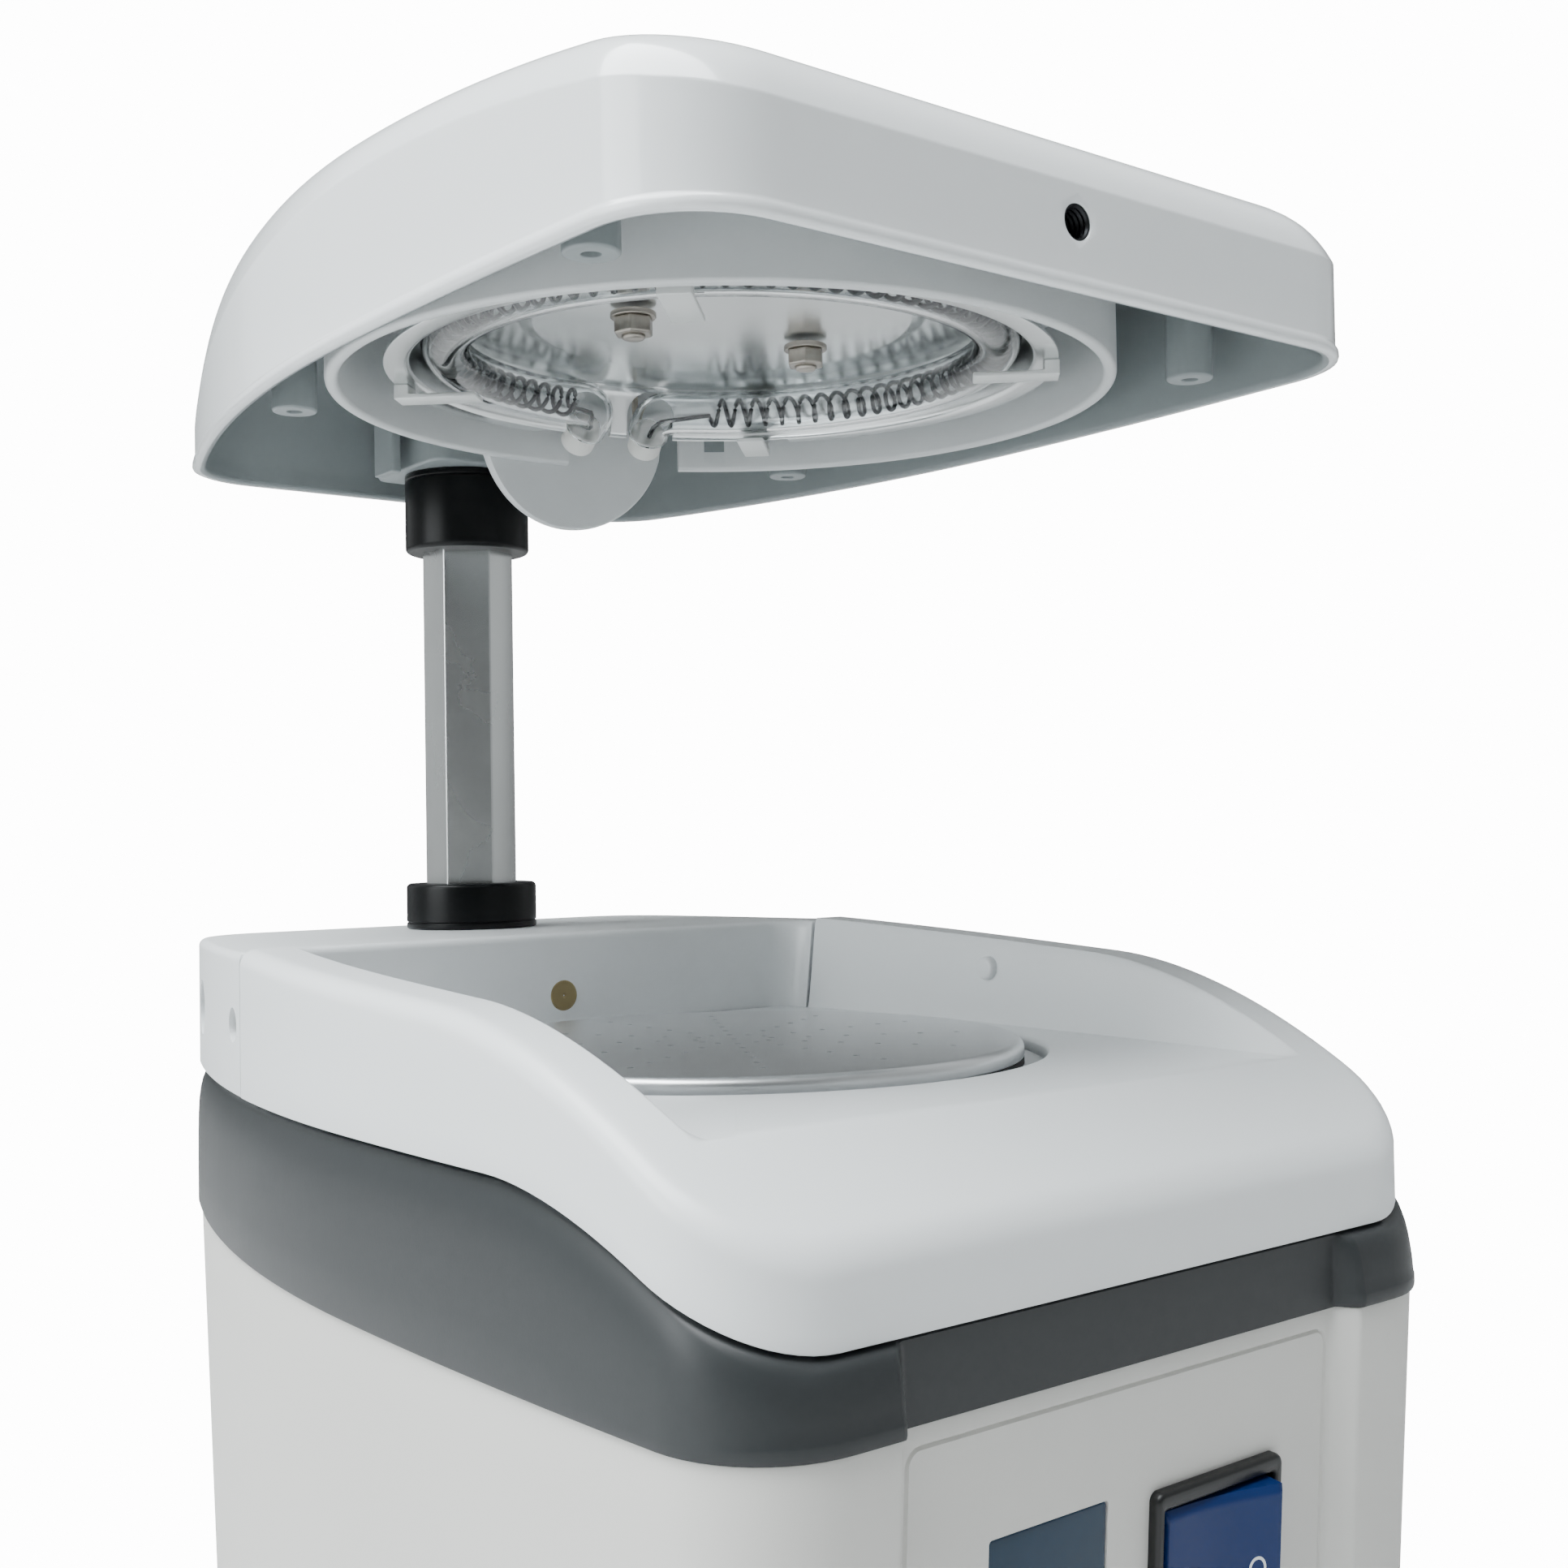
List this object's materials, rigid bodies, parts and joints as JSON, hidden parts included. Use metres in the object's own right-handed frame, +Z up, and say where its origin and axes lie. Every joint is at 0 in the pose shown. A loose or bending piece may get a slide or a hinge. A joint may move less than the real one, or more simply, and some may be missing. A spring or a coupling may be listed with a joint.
{
  "type": "dental vacuum former",
  "caption": "Benchtop dental vacuum former: domed heater head on a hexagonal column slides down over a perforated forming plate in a tapered base with display, keys and rocker.",
  "frame": {"origin": "middle of the bounding box on the surface it stands on", "axes": "+Z up along the column, -Y out of the front panel, +X to the right seen from the front"},
  "size_m": [0.168, 0.2424, 0.3291],
  "materials": {
    "head_white": "glossy cool white",
    "cover_white": "satin gloss white",
    "body_white": "warm off-white, matt",
    "belt_grey": "dark slate grey, satin",
    "grey_metal": "grey coated sheet",
    "black_rubber": "matt black",
    "screw_steel": "bright zinc plated",
    "plate_aluminium": "satin turned",
    "cast_aluminium": "plain",
    "dark_plastic": "dark grey, matt",
    "motor_iron": "dark, varnished",
    "collar_black": "black, satin",
    "pale_plastic": "pale, self lubricating",
    "brass": "turned brass",
    "display_blue": "blue grey display window",
    "board_green": "green board",
    "switch_black": "black, fine grain",
    "rocker_blue": "blue, glossy",
    "key_grey": "light grey",
    "shroud_metal": "pale grey, smooth",
    "reflector_metal": "polished",
    "ceramic_white": "white ceramic",
    "nut_steel": "heat stained",
    "quartz_glass": "clear",
    "coil_wire": "dark oxidised wire",
    "clip_steel": "pale coated spring steel",
    "lead_sleeve": "pale sleeve",
    "insert_dark": "blackened thread",
    "column_steel": "bright plated"
  },
  "bodies": {
    "base": {"cover_tray": "cover_white", "rear_block": "cover_white", "body_shell": "body_white", "belt": "belt_grey", "base_plate": "grey_metal", "feet": "black_rubber", "plate_seal": "black_rubber", "foot_screws": "screw_steel", "forming_plate": "plate_aluminium", "vacuum_cup": "cast_aluminium", "fan_housing": "dark_plastic", "motor_stator": "motor_iron", "motor_can": "grey_metal", "motor_bearings": "screw_steel", "motor_cradle": "dark_plastic", "guide_bush": "dark_plastic", "guide_tube": "cast_aluminium", "lower_collar": "collar_black", "brake_pad": "pale_plastic", "brake_spring": "screw_steel", "brake_screw": "screw_steel", "brass_stud": "brass", "side_screws": "screw_steel", "display_window": "display_blue", "display_module": "board_green", "control_board": "board_green", "switch_frame": "switch_black", "power_inlet": "switch_black", "inlet_pins": "brass", "inlet_screws": "screw_steel", "fuse_cap": "switch_black", "exhaust_grille": "dark_plastic"},
    "head": {"head_shell": "head_white", "heater_shroud": "shroud_metal", "shroud_screws": "screw_steel", "reflector": "reflector_metal", "centre_disc": "ceramic_white", "centre_screws": "nut_steel", "quartz_tube": "quartz_glass", "heating_coil": "coil_wire", "ceramic_ends": "ceramic_white", "tube_clips": "clip_steel", "terminal_block": "ceramic_white", "heater_leads": "lead_sleeve", "handle_insert": "insert_dark", "column": "column_steel", "upper_collar": "collar_black", "column_slider": "pale_plastic", "socket_screws": "screw_steel"},
    "fan": {"impeller": "cast_aluminium", "motor_shaft": "screw_steel", "motor_rotor": "motor_iron"},
    "rocker": {"rocker": "rocker_blue"},
    "key_left": {"key_left": "key_grey"},
    "key_middle": {"key_middle": "key_grey"},
    "key_right": {"key_right": "key_grey"}
  },
  "joints": [
    {"name": "head_lift", "type": "slide", "parent": "base", "child": "head", "axis": [0, 0, 1], "range_m": [-0.0805, 0]},
    {"name": "impeller_spin", "type": "hinge", "parent": "base", "child": "fan", "pos_m": [0, -0.012, 0.11], "axis": [0, 0, 1], "continuous": true},
    {"name": "power_rocker", "type": "hinge", "parent": "base", "child": "rocker", "pos_m": [0.019, -0.11304, 0.07906], "axis": [0, -0.0634, 0.998], "range_deg": [0, 16]},
    {"name": "key_left_press", "type": "slide", "parent": "base", "child": "key_left", "axis": [0, 0.998, 0.0634], "range_m": [0, 0.0008], "stiffness_N_per_m": 500},
    {"name": "key_middle_press", "type": "slide", "parent": "base", "child": "key_middle", "axis": [0, 0.998, 0.0634], "range_m": [0, 0.0008], "stiffness_N_per_m": 500},
    {"name": "key_right_press", "type": "slide", "parent": "base", "child": "key_right", "axis": [0, 0.998, 0.0634], "range_m": [0, 0.0008], "stiffness_N_per_m": 500}
  ]
}
